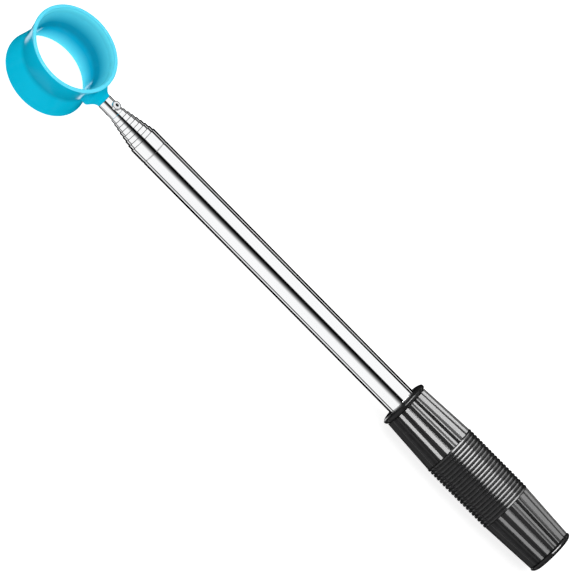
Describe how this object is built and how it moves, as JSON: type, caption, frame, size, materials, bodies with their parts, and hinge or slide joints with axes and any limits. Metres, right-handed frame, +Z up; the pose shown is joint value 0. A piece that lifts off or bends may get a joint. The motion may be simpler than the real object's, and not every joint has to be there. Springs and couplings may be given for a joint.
{
  "type": "golf ball retriever",
  "caption": "Telescopic pole with a plastic ring that grips a golf ball at one end and a fluted black handle with a ribbed grip at the other.",
  "frame": {"origin": "on the ground below the middle of the collapsed tool, which lies on its side", "axes": "+X along the pole from the ball ring to the handle, +Z up, which is also the way the ball ring's front opening faces"},
  "size_m": [0.3988, 0.0528, 0.0339],
  "materials": {
    "ring_plastic": "smooth glossy cyan plastic",
    "pole_steel": "polished stainless steel, mirror bright",
    "rivet_steel": "plain steel",
    "sleeve_brass": "spring brass",
    "handle_plastic": "black plastic with a satin shine",
    "grip_rubber": "dark ribbed rubber"
  },
  "bodies": {
    "handle": {"outer_tube": "pole_steel", "tube_end_plug": "handle_plastic", "front_collar": "handle_plastic", "handle_body": "handle_plastic", "grip_sleeve": "grip_rubber", "end_cap": "handle_plastic", "handle_lock_pin": "rivet_steel"},
    "tube_8": {"section_8": "pole_steel", "friction_sleeve_8": "sleeve_brass"},
    "tube_7": {"section_7": "pole_steel", "friction_sleeve_7": "sleeve_brass"},
    "tube_6": {"section_6": "pole_steel", "friction_sleeve_6": "sleeve_brass"},
    "tube_5": {"section_5": "pole_steel", "friction_sleeve_5": "sleeve_brass"},
    "tube_4": {"section_4": "pole_steel", "friction_sleeve_4": "sleeve_brass"},
    "tube_3": {"section_3": "pole_steel", "friction_sleeve_3": "sleeve_brass"},
    "tube_2": {"section_2": "pole_steel", "friction_sleeve_2": "sleeve_brass"},
    "head": {"section_1": "pole_steel", "friction_sleeve_1": "sleeve_brass", "head_ring": "ring_plastic", "head_rivet": "rivet_steel"}
  },
  "joints": [
    {"name": "section_8_slide", "type": "slide", "parent": "handle", "child": "tube_8", "axis": [-1, 0, 0], "range_m": [0, 0.2639]},
    {"name": "section_7_slide", "type": "slide", "parent": "tube_8", "child": "tube_7", "axis": [-1, 0, 0], "range_m": [0, 0.2756]},
    {"name": "section_6_slide", "type": "slide", "parent": "tube_7", "child": "tube_6", "axis": [-1, 0, 0], "range_m": [0, 0.2783]},
    {"name": "section_5_slide", "type": "slide", "parent": "tube_6", "child": "tube_5", "axis": [-1, 0, 0], "range_m": [0, 0.281]},
    {"name": "section_4_slide", "type": "slide", "parent": "tube_5", "child": "tube_4", "axis": [-1, 0, 0], "range_m": [0, 0.2837]},
    {"name": "section_3_slide", "type": "slide", "parent": "tube_4", "child": "tube_3", "axis": [-1, 0, 0], "range_m": [0, 0.2864]},
    {"name": "section_2_slide", "type": "slide", "parent": "tube_3", "child": "tube_2", "axis": [-1, 0, 0], "range_m": [0, 0.2891]},
    {"name": "section_1_slide", "type": "slide", "parent": "tube_2", "child": "head", "axis": [-1, 0, 0], "range_m": [0, 0.2918]}
  ]
}
